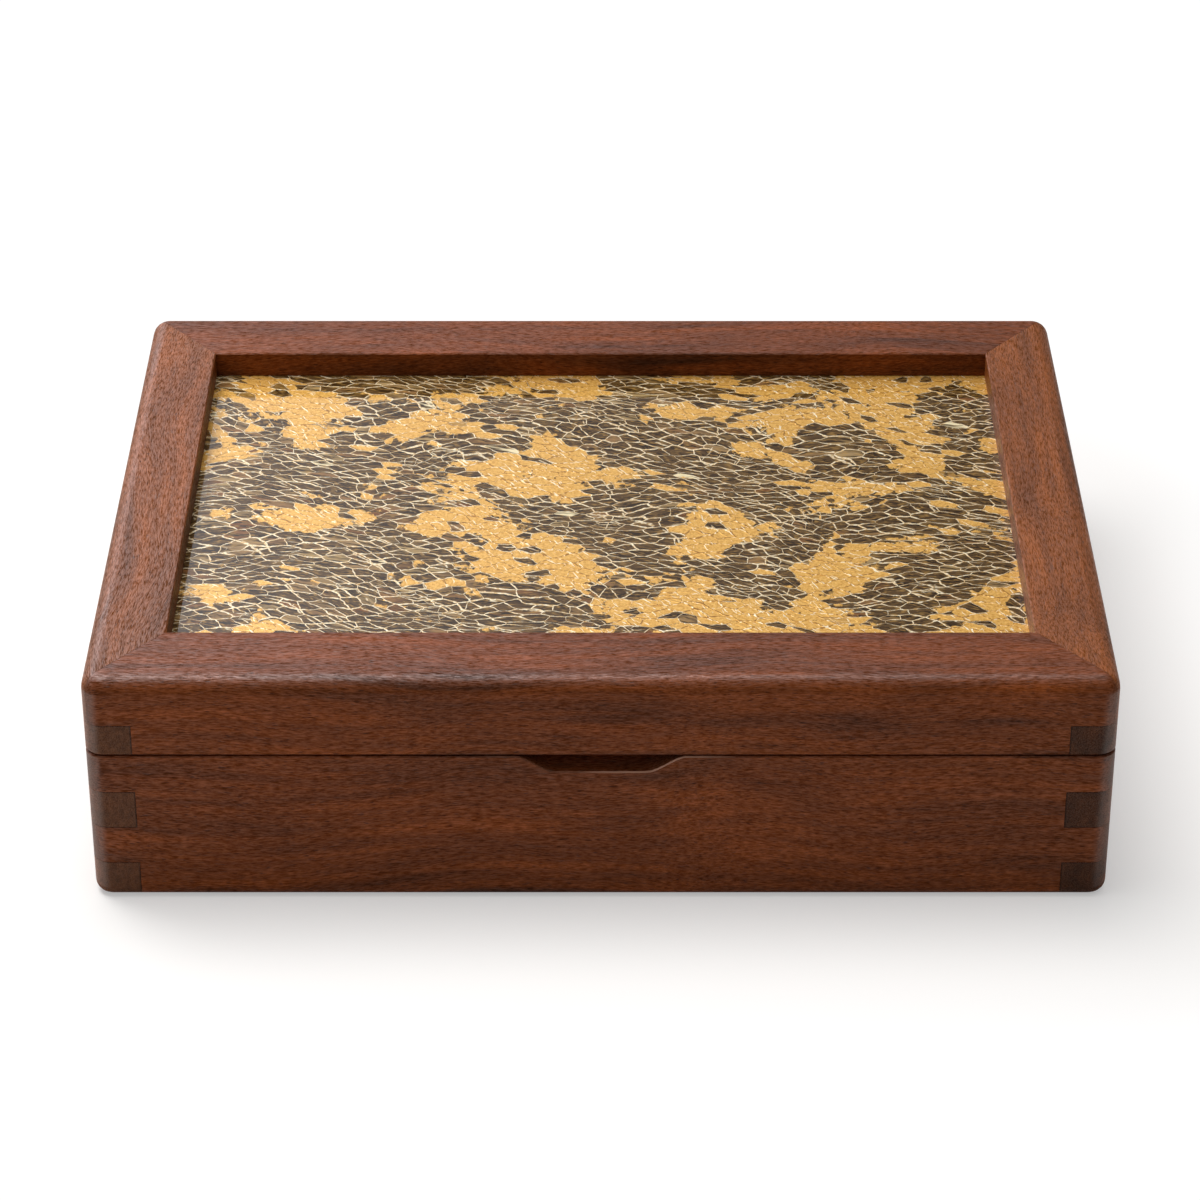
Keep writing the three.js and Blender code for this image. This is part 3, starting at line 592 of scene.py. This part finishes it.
def crease_net(tree, plan, rippled):
    """The creases, the lozenges' own place, and the distance to a lozenge's edge counted in
    half widths of its crease."""
    thickness = add(tree, "TexNoise", {"Vector": plan, "Scale": 0.11, "Detail": 3.0, "Roughness": 0.6})
    half_width = add(tree, "MapRange",
                     {"Value": thickness, "From Min": 0.35, "From Max": 0.70, "To Min": 0.05, "To Max": 0.20})
    lumps = add(tree, "TexNoise", {"Vector": plan, "Scale": 0.38, "Detail": 2.0})
    nuggets = add(tree, "MapRange",
                  {"Value": lumps, "From Min": 0.66, "From Max": 0.78, "To Max": 0.35}, **soft)
    swollen = add(tree, "Math", {0: half_width, 1: nuggets}, operation="ADD")
    lozenges = stretched(tree, rippled, 12.0, *lozenge_cell)
    to_edge = crease_distance(tree, lozenges, *lozenge_cell, eighth_turn)
    half_widths = add(tree, "Math", {0: to_edge, 1: swollen}, operation="DIVIDE")
    main_crease = add(tree, "MapRange", {"Value": half_widths, "From Min": 1.35, "From Max": 0.65}, **soft)

    fine_net = stretched(tree, rippled, 8.0, *fine_cell, 40.0)
    to_fine = crease_distance(tree, fine_net, *fine_cell)
    fine_line = add(tree, "MapRange",
                    {"Value": to_fine, "From Min": 0.15, "From Max": 0.06, "To Max": 0.75}, **soft)
    patches = add(tree, "TexNoise", {"Vector": plan, "Scale": 0.05, "Detail": 1.0})
    fine_zone = add(tree, "MapRange", {"Value": patches, "From Min": 0.60, "From Max": 0.68}, **soft)
    fine_crease = add(tree, "Math", {0: fine_line, 1: fine_zone}, operation="MULTIPLY")

    great_net = stretched(tree, rippled, 40.0, *great_cell, 90.0)
    to_great = crease_distance(tree, great_net, *great_cell)
    great_line = add(tree, "MapRange",
                     {"Value": to_great, "From Min": 0.20, "From Max": 0.09, "To Max": 0.8}, **soft)
    great_zone = add(tree, "MapRange", {"Value": thickness, "From Min": 0.50, "From Max": 0.56}, **soft)
    great_crease = add(tree, "Math", {0: great_line, 1: great_zone}, operation="MULTIPLY")

    netted = add(tree, "Math", {0: main_crease, 1: fine_crease}, operation="MAXIMUM")
    creases = add(tree, "Math", {0: netted, 1: great_crease}, operation="MAXIMUM")
    return creases, lozenges, half_widths


panel_area = panel_size[0] * panel_size[1] / MM ** 2
print("the panel holds about", round(panel_area / math.prod(lozenge_cell)), "lozenges")

# %% [markdown]
# Whole leaf fills a cell where broad noise is high. The noise is read at the cell's own seed
# point, so the cell fills as one. Finer noise and a tooth mixed into it make the borders
# ragged, a few cells stay open inside an island, and a few stray ones are filled outside. The
# leaf lay a little fuller at the right end.

# %% Islands of whole leaf
cell_size = 4.4
leaf_level = 0.550


def whole_leaf(tree, spot, rippled, cell, lot, tooth):
    """The filled cells, and a thin line along their border, from how far the noise reaches
    over the leaf's level."""
    seed_point = add(tree, "VectorMath",
                     {0: cell.outputs["Position"], 1: (cell_size, cell_size, 0.0)}, operation="MULTIPLY")
    islands = add(tree, "TexNoise", {"Vector": seed_point, "Scale": 0.022, "Detail": 2.0})
    shore = add(tree, "TexNoise", {"Vector": rippled, "Scale": 0.030, "Detail": 4.0, "Roughness": 0.55})
    land = add(tree, "Mix", {0: 0.5, 2: islands, 3: shore}, data_type="FLOAT")
    toothed = add(tree, "Math", {0: tooth, 1: 0.05, 2: land}, operation="MULTIPLY_ADD")
    stray = add(tree, "MapRange",
                {"Value": lot.outputs["Red"], "From Min": 0.90, "From Max": 0.91, "To Max": 0.05}, **soft)
    fuller_end = add(tree, "MapRange",
                     {"Value": spot.outputs["X"], "From Min": 55.0, "From Max": 105.0, "To Max": 0.025},
                     **soft)
    scattered = add(tree, "Math", {0: toothed, 1: stray}, operation="ADD")
    reached = add(tree, "Math", {0: scattered, 1: fuller_end}, operation="ADD")
    filled = add(tree, "MapRange",
                 {"Value": reached, "From Min": leaf_level, "From Max": leaf_level + 0.005}, **soft)
    not_open = add(tree, "MapRange",
                   {"Value": lot.outputs["Red"], "From Min": 0.10, "From Max": 0.11}, **soft)
    leaf = add(tree, "Math", {0: filled, 1: not_open}, operation="MULTIPLY")
    outer = add(tree, "MapRange",
                {"Value": reached, "From Min": leaf_level - 0.010, "From Max": leaf_level}, **soft)
    inner = add(tree, "MapRange",
                {"Value": reached, "From Min": leaf_level + 0.013, "From Max": leaf_level + 0.004}, **soft)
    border = add(tree, "Math", {0: outer, 1: inner}, operation="MULTIPLY")
    return leaf, border


print("a cell is about", cell_size, "mm across")

# %% [markdown]
# The leaf is not one yellow. It is grainy, it has painted brown shade beside some creases and
# painted pale highlights over others, short folds cross it at a steep slant with painted pale
# highlights, and its border is torn, with painted dark shadow along it in places.

# %% Colours of the leaf
leaf_shades = ("#cb9039", "#f1c06a")


def leaf_paint(tree, rippled, half_widths, grit, tooth, border):
    """Grain, then painted shade beside creases, painted highlights on creases and folds, and painted shadow
    on torn borders, each mixed over the last.
    """
    grain = add(tree, "MapRange", {"Value": grit, "From Min": 0.28, "From Max": 0.70}, **soft)
    low, high = (linear(shade) for shade in leaf_shades)
    grainy = add(tree, "Mix", {0: grain, 6: low, 7: high}, data_type="RGBA")
    near_crease = add(tree, "MapRange",
                      {"Value": half_widths, "From Min": 1.8, "From Max": 0.8, "To Max": 0.8}, **soft)
    low_tooth = add(tree, "MapRange", {"Value": tooth, "From Min": 0.54, "From Max": 0.46}, **soft)
    # Painted shade: brown beside some creases.
    painted_crease_shade = add(tree, "Math", {0: near_crease, 1: low_tooth}, operation="MULTIPLY")
    crease_shaded = add(tree, "Mix", {0: painted_crease_shade, 6: grainy, 7: linear("#8e5a1c")}, data_type="RGBA")
    on_crease = add(tree, "MapRange", {"Value": half_widths, "From Min": 1.2, "From Max": 0.7}, **soft)
    high_tooth = add(tree, "MapRange", {"Value": tooth, "From Min": 0.53, "From Max": 0.60}, **soft)
    painted_crease_highlight = add(tree, "Math", {0: on_crease, 1: high_tooth}, operation="MULTIPLY")
    fold_place = stretched(tree, rippled, 57.0, 6.0, 0.75)
    fold_noise = add(tree, "TexNoise", {"Vector": fold_place, "Scale": 1.0, "Detail": 1.0})
    fold_highlights = add(tree, "MapRange", {"Value": fold_noise, "From Min": 0.65, "From Max": 0.71}, **soft)
    # Painted highlights: pale over some creases and along the folds.
    pale = add(tree, "Math", {0: painted_crease_highlight, 1: fold_highlights}, operation="MAXIMUM")
    leaf_highlighted = add(tree, "Mix", {0: pale, 6: crease_shaded, 7: linear("#fff0cc")}, data_type="RGBA")
    jagged = add(tree, "MapRange", {"Value": tooth, "From Min": 0.56, "From Max": 0.62}, **soft)
    # Painted shadow: dark along the torn border.
    painted_torn_edge_shadow = add(tree, "Math", {0: jagged, 1: border}, operation="MULTIPLY")
    return add(tree, "Mix", {0: painted_torn_edge_shadow, 6: leaf_highlighted, 7: linear("#2e1a0a")}, data_type="RGBA")


print("the leaf runs from", *leaf_shades)

# %% [markdown]
# The ground is dark brown paint with the marks of the brush. In some cells the size has
# smeared brown or tan over it, more of them toward the left. Gold dust lies in streaks over
# all, and very few cells carry a painted pale glint.

# %% Colours of the ground
ground_shades = ("#34230f", "#5a4327")
fade_per_mm = 0.0011


def ground_paint(tree, spot, rippled, lot):
    """Brush streaks, then smears, dust and painted glints, each mixed over the last. A smeared cell
    is one whose own random number, less the fade for each millimetre to the right, is high."""
    brush_place = stretched(tree, rippled, 12.0, 12.0, 1.4)
    brushed = add(tree, "TexNoise", {"Vector": brush_place, "Scale": 1.0, "Detail": 3.0})
    tone = add(tree, "MapRange", {"Value": brushed, "From Min": 0.35, "From Max": 0.65}, **soft)
    low, high = (linear(shade) for shade in ground_shades)
    ground = add(tree, "Mix", {0: tone, 6: low, 7: high}, data_type="RGBA")
    to_left = add(tree, "Math", {0: spot.outputs["X"], 1: -fade_per_mm, 2: lot.outputs["Green"]},
                  operation="MULTIPLY_ADD")
    smeared_cell = add(tree, "MapRange", {"Value": to_left, "From Min": 0.76, "From Max": 0.82}, **soft)
    smear_marks = add(tree, "MapRange",
                      {"Value": brushed, "From Min": 0.40, "From Max": 0.62, "To Max": 0.85}, **soft)
    smeared = add(tree, "Math", {0: smeared_cell, 1: smear_marks}, operation="MULTIPLY")
    smear_colour = add(tree, "Mix",
                       {0: lot.outputs["Blue"], 6: linear("#7a4620"), 7: linear("#b49a6c")},
                       data_type="RGBA")
    stained = add(tree, "Mix", {0: smeared, 6: ground, 7: smear_colour}, data_type="RGBA")
    dust_place = stretched(tree, rippled, 12.0, 2.6, 0.5, 60.0)
    dust_noise = add(tree, "TexNoise", {"Vector": dust_place, "Scale": 1.0, "Detail": 2.0})
    dust = add(tree, "MapRange",
               {"Value": dust_noise, "From Min": 0.50, "From Max": 0.68, "To Max": 0.65}, **soft)
    dusted = add(tree, "Mix", {0: dust, 6: stained, 7: linear("#b48b4a")}, data_type="RGBA")
    # A painted glint: a rare cell is painted pale where the brush marks are light.
    rare_cell = add(tree, "MapRange",
                    {"Value": lot.outputs["Blue"], "From Min": 0.993, "From Max": 0.994}, **soft)
    glint_marks = add(tree, "MapRange", {"Value": brushed, "From Min": 0.40, "From Max": 0.60}, **soft)
    painted_glint = add(tree, "Math", {0: rare_cell, 1: glint_marks}, operation="MULTIPLY")
    return add(tree, "Mix", {0: painted_glint, 6: dusted, 7: linear("#f2e2b8")}, data_type="RGBA")


green_ratio = linear(leaf_shades[1])[1] / linear(ground_shades[1])[1]
print("light leaf is", round(green_ratio, 1), "times as bright as light ground")

# %% [markdown]
# Gold under lacquer is metal with a broken, half-matt surface, and the ground is dull paint.
# The crumpled leaf scatters light every way, so it is drawn about half metallic, which keeps
# it yellow where nothing bright is there to reflect. The lacquer is the shader's coat: smooth
# and level over everything, while only the gold beneath it is bumpy.

# %% Gold leaf in a torn net under clear lacquer
def gilding():
    """Ground, creases over it, leaf over both, then one level coat."""
    material, tree = new_material("broken_gold_leaf_under_lacquer")
    plan, rippled = panel_places(tree)
    spot = add(tree, "SeparateXYZ", {0: plan})
    creases, lozenges, half_widths = crease_net(tree, plan, rippled)
    cell_place = add(tree, "Mapping", {"Vector": lozenges, "Rotation": (0.0, 0.0, eighth_turn)})
    cell = add(tree, "TexVoronoi", {"Vector": cell_place, "Scale": 1.0, "Randomness": looseness},
               voronoi_dimensions="2D")
    lot = add(tree, "SeparateColor", {0: cell.outputs["Color"]})
    tooth = add(tree, "TexNoise", {"Vector": plan, "Scale": 0.6, "Detail": 2.0, "Roughness": 0.6})
    grit = add(tree, "TexNoise", {"Vector": plan, "Scale": 0.95, "Detail": 3.0, "Roughness": 0.75})

    leaf, border = whole_leaf(tree, spot, rippled, cell, lot, tooth)
    leaf_colour = leaf_paint(tree, rippled, half_widths, grit, tooth, border)
    ground_colour = ground_paint(tree, spot, rippled, lot)
    glint = add(tree, "MapRange", {"Value": grit, "From Min": 0.38, "From Max": 0.60}, **soft)
    crease_colour = add(tree, "Mix", {0: glint, 6: linear("#dfb87c"), 7: linear("#fff1d0")},
                        data_type="RGBA")
    netted = add(tree, "Mix", {0: creases, 6: ground_colour, 7: crease_colour}, data_type="RGBA")
    gilded = add(tree, "Mix", {0: leaf, 6: netted, 7: leaf_colour}, data_type="RGBA")

    gold = add(tree, "Math", {0: leaf, 1: creases}, operation="MAXIMUM")
    metal = add(tree, "Math", {0: gold, 1: 0.55}, operation="MULTIPLY")
    rough = add(tree, "MapRange", {"Value": gold, "To Min": 0.7, "To Max": 0.44})
    height = add(tree, "Math", {0: grit, 1: creases}, operation="ADD")
    raised = add(tree, "Math", {0: height, 1: gold}, operation="MULTIPLY")
    bump = add(tree, "Bump", {"Strength": 0.5, "Distance": 0.15 * MM, "Height": raised})
    lacquered = add(tree, "BsdfPrincipled",
                    {"Base Color": gilded, "Metallic": metal, "Roughness": rough,
                     "Specular IOR Level": 0.0, "Normal": bump,
                     "Coat Weight": 1.0, "Coat Roughness": 0.02, "Coat IOR": 1.5})
    add(tree, "OutputMaterial", {"Surface": lacquered})
    return material


gilded_panel = smooth_copy("gilded_panel", gilding(), "lid")
print("nodes in the gilding", len(gilded_panel.data.materials[0].node_tree.nodes))

# %% [markdown]
# Drawn brass, brushed along the leaf and left bare. Brushing leaves fine parallel scratches,
# which spread a highlight across them. The screws were turned on a lathe, so their heads are
# paler and more evenly matt than the leaf round them. Real scratches are some hundredths of
# a millimetre apart. Here they are drawn coarser, 0.3 mm apart, so that they can be seen.

# %% Brass hinges and screws
scratch_gap = 0.3 * MM


def worked_brass(name, dark, light, scratch_length, smoothest, roughest):
    """Brass with scratches of this length along x, in roughness and in bump."""
    material, tree = new_material(name)
    place = add(tree, "TexCoord")
    drawn = add(tree, "Mapping",
                {"Vector": place.outputs["Object"],
                 "Scale": (1 / scratch_length, 1 / scratch_gap, 1 / scratch_gap)})
    scratches = add(tree, "TexNoise", {"Vector": drawn, "Scale": 1.0, "Detail": 2.0})
    tarnish = add(tree, "TexNoise", {"Vector": place.outputs["Object"], "Scale": 160.0, "Detail": 2.0})
    colour = add(tree, "Mix", {0: tarnish, 6: linear(dark), 7: linear(light)}, data_type="RGBA")
    rough = add(tree, "MapRange",
                {"Value": scratches, "From Min": 0.3, "From Max": 0.7,
                 "To Min": smoothest, "To Max": roughest})
    bump = add(tree, "Bump", {"Strength": 0.15, "Distance": 0.05 * MM, "Height": scratches})
    metal = add(tree, "BsdfPrincipled",
                {"Base Color": colour, "Metallic": 1.0, "Roughness": rough,
                 "Normal": bump})
    add(tree, "OutputMaterial", {"Surface": metal})
    return material


brushed = worked_brass("brushed_brass", "#a97b35", "#dcb268", 15.0 * MM, 0.22, 0.38)
turned = worked_brass("turned_brass", "#c79c58", "#f3d596", 0.8 * MM, 0.30, 0.42)
brass_crease = 28.0
for side in ("left", "right"):
    for body, plates in (("case", ("case_leaf", "pin")), ("lid", ("lid_leaf",))):
        for plate in plates:
            smooth_copy(f"{side}_hinge_{plate}", brushed, body, brass_crease)
        for number in (1, 2):
            smooth_copy(f"{side}_hinge_{body}_screw_{number}", turned, body, brass_crease)

# %% [markdown]
# Birch plywood backs the panel. It is bare and sanded, and only its underside could be seen,
# round the lid's lining. Rotary-cut veneer shows wide, faint, wandering figure.

# %% Birch plywood backing
veneer_thickness = 1.2 * MM


def birch_plywood():
    """Pale veneer with a faint figure 60 mm long and 9 mm wide, new in each veneer's layer."""
    material, tree = new_material("sanded_birch_plywood")
    place = add(tree, "TexCoord")
    drawn = add(tree, "Mapping",
                {"Vector": place.outputs["Object"],
                 "Scale": (1 / (60 * MM), 1 / (9 * MM), 1 / veneer_thickness)})
    figure = add(tree, "TexNoise", {"Vector": drawn, "Scale": 1.0, "Detail": 5.0, "Roughness": 0.6})
    colour = add(tree, "Mix", {0: figure, 6: linear("#9c7648"), 7: linear("#d0ac7c")}, data_type="RGBA")
    bump = add(tree, "Bump", {"Strength": 0.1, "Distance": 0.05 * MM, "Height": figure})
    wood = add(tree, "BsdfPrincipled", {"Base Color": colour, "Roughness": 0.65, "Normal": bump})
    add(tree, "OutputMaterial", {"Surface": wood})
    return material


backing = smooth_copy("backing_board", birch_plywood(), "lid")
print("backing board faces", len(backing.data.polygons))

# %% [markdown]
# Jewelry velvet: a short dense pile. Seen straight on it is almost black, because light goes in
# between the fibres. Seen along the surface the tips catch the light, so it gets a pale rim.
# Sheen is the shader's own answer to that. Patches of pile lean different ways, which shows
# as soft lighter and darker clouds. Single fibres are too fine to render, so the nap is drawn
# as tufts of half a millimetre.

# %% Charcoal velvet
tuft_size = 0.5 * MM


def charcoal_velvet():
    """Clouds of leaning pile, each about 12 mm across, over tufts of 0.5 mm."""
    material, tree = new_material("charcoal_velvet")
    place = add(tree, "TexCoord")
    lean = add(tree, "TexNoise", {"Vector": place.outputs["Object"], "Scale": 80.0, "Detail": 2.0})
    nap = add(tree, "TexNoise",
              {"Vector": place.outputs["Object"], "Scale": 1 / tuft_size, "Detail": 1.0})
    tone = add(tree, "Mix", {0: 0.5, 2: lean, 3: nap}, data_type="FLOAT")
    shade = add(tree, "MapRange", {"Value": tone, "From Min": 0.35, "From Max": 0.65})
    colour = add(tree, "Mix", {0: shade, 6: linear("#171517"), 7: linear("#2e2a2b")}, data_type="RGBA")
    bump = add(tree, "Bump", {"Strength": 0.4, "Distance": 0.25 * MM, "Height": nap})
    cloth = add(tree, "BsdfPrincipled",
                {"Base Color": colour, "Roughness": 0.9, "Specular IOR Level": 0.2,
                 "Normal": bump, "Sheen Weight": 0.6, "Sheen Roughness": 0.35,
                 "Sheen Tint": (0.75, 0.72, 0.74, 1.0)})
    add(tree, "OutputMaterial", {"Surface": cloth})
    return material


velvet = charcoal_velvet()
print("velvet tufts per centimetre", round(10 * MM / tuft_size))

# %% [markdown]
# Every lining is velvet drawn over a stiff card with a little wadding: flat in the middle,
# rounded where the cloth turns over the edge, then straight down to the glued back. One
# function makes them all as a grid. Along each direction the grid lines run out across the
# flat, round the padded edge and down the side; the height at a point is the product of
# the two directions' shares, so the corners round off both ways by themselves.

# %% Surface of a covered pad
def edge_profile(half, thickness, edge, flat_steps, round_steps=6, side_steps=3):
    """Reach from the middle, and share of the full height, along one direction of a pad: flat,
    then a quarter circle of the edge's radius, then straight down, and the same mirrored."""
    turn = np.linspace(0, math.pi / 2, round_steps + 1)
    flat = np.linspace(0, half - edge, flat_steps, endpoint=False)
    reach = np.concatenate([flat, half - edge + edge * np.sin(turn), np.full(side_steps, half)])
    down = np.linspace(thickness - edge, 0, side_steps + 1)[1:]
    level = np.concatenate([np.full(flat_steps, thickness), thickness - edge * (1 - np.cos(turn)), down])
    return np.concatenate([-reach[:0:-1], reach]), np.concatenate([level[:0:-1], level]) / thickness


def covered_pad(node, body, out, across, edge, relief, steps, drawn_in=0.0):
    """A pad in a CAD node's box. Its back lies on the face opposite to out. relief(u, v) is
    the share of full thickness at u, v from -1 to 1, before the edges round it off. The sides
    draw in by a parabola, most in the middle and not at the corners."""
    low, high = (np.array(corner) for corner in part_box(node))
    out, across = np.array(out, float), np.array(across, float)
    along = np.cross(across, out)
    size = high - low
    length, width, thickness = (abs(size @ axis) for axis in (along, across, out))
    x, share_x = edge_profile(length / 2, thickness, edge, steps[0])
    y, share_y = edge_profile(width / 2, thickness, edge, steps[1])
    u, v = np.meshgrid(x / (length / 2), y / (width / 2), indexing="ij")
    pulled_x = u * (length / 2 - drawn_in * (1 - v ** 2))
    pulled_y = v * (width / 2 - drawn_in * (1 - u ** 2))
    top = thickness * relief(u, v) * share_x[:, None] * share_y[None, :]
    rows, columns = u.shape

    front = np.arange(rows * columns).reshape(rows, columns)
    inner = (rows - 2) * (columns - 2)
    back = front.copy()
    back[1:-1, 1:-1] = rows * columns + np.arange(inner).reshape(rows - 2, columns - 2)
    heights = np.concatenate([top.ravel(), np.zeros(inner)])
    flat_x = np.concatenate([pulled_x.ravel(), pulled_x[1:-1, 1:-1].ravel()])
    flat_y = np.concatenate([pulled_y.ravel(), pulled_y[1:-1, 1:-1].ravel()])
    origin = (low + high) / 2 - out * thickness / 2
    points = origin + flat_x[:, None] * along + flat_y[:, None] * across + heights[:, None] * out

    def quads(index):
        """Four corners for each cell of a grid of vertex numbers."""
        corners = [index[:-1, :-1], index[1:, :-1], index[1:, 1:], index[:-1, 1:]]
        return np.stack(corners, axis=-1).reshape(-1, 4)

    faces = np.concatenate([quads(front), quads(back)[:, ::-1]])
    mesh = bpy.data.meshes.new(node + "_velvet")
    mesh.from_pydata(points.tolist(), [], faces.tolist())
    mesh.materials.append(velvet)
    mesh.shade_smooth()
    pad = bpy.data.objects.new(node + "_velvet", mesh)
    bpy.context.scene.collection.objects.link(pad)
    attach(pad, body)
    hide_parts(node)
    return pad


def level(u, v):
    """A lining over flat card has its full thickness everywhere."""
    return np.ones_like(u)


up, down, toward_back = (0, 0, 1), (0, 0, -1), (0, 1, 0)
floor_velvet = covered_pad("floor_lining", "case", out=up, across=toward_back, edge=0.8 * MM,
                           relief=level, steps=(24, 18))
inward = {"front": toward_back, "right": (-1, 0, 0), "back": (0, -1, 0), "left": (1, 0, 0)}
for side, facing_in in inward.items():
    covered_pad(f"{side}_wall_lining", "case", out=facing_in, across=up, edge=0.95 * MM,
                relief=level, steps=(24, 8))
print("floor lining vertices", len(floor_velvet.data.vertices))

# %% [markdown]
# The lid's lining is a thin padded panel that swells towards its middle, and the ring cushion
# is six foam rolls in one piece of velvet, with a slot between each pair for the rings.
# Both use the same pad surface with their own relief.

# %% Lid lining and ring cushion
def swell(u, v):
    """A crown: the square root of (1 - u^6)(1 - v^6), which falls away only near the edges."""
    return 0.55 + 0.45 * np.sqrt((1 - u ** 6) * (1 - v ** 6))


ring_rolls = 6


def rolls(u, v):
    """Round-topped rolls side by side along v: the square root of 1 - d^2, with d the distance
    from the roll's ridge, 0 on it and almost 1 in the slot."""
    roll_place = (v + 1) / 2 * ring_rolls
    from_ridge = np.abs(2 * (roll_place - np.floor(roll_place)) - 1)
    return 0.52 + 0.48 * np.sqrt(1 - 0.985 * from_ridge ** 2)


lid_velvet = covered_pad("lid_lining", "lid", out=down, across=toward_back, edge=1.2 * MM,
                         relief=swell, steps=(30, 22), drawn_in=0.5 * MM)
ring_cushion = covered_pad("ring_cushion", "case", out=up, across=toward_back, edge=5.0 * MM,
                           relief=rolls, steps=(24, 72), drawn_in=0.8 * MM)
print("lid lining vertices", len(lid_velvet.data.vertices), "ring cushion", len(ring_cushion.data.vertices))
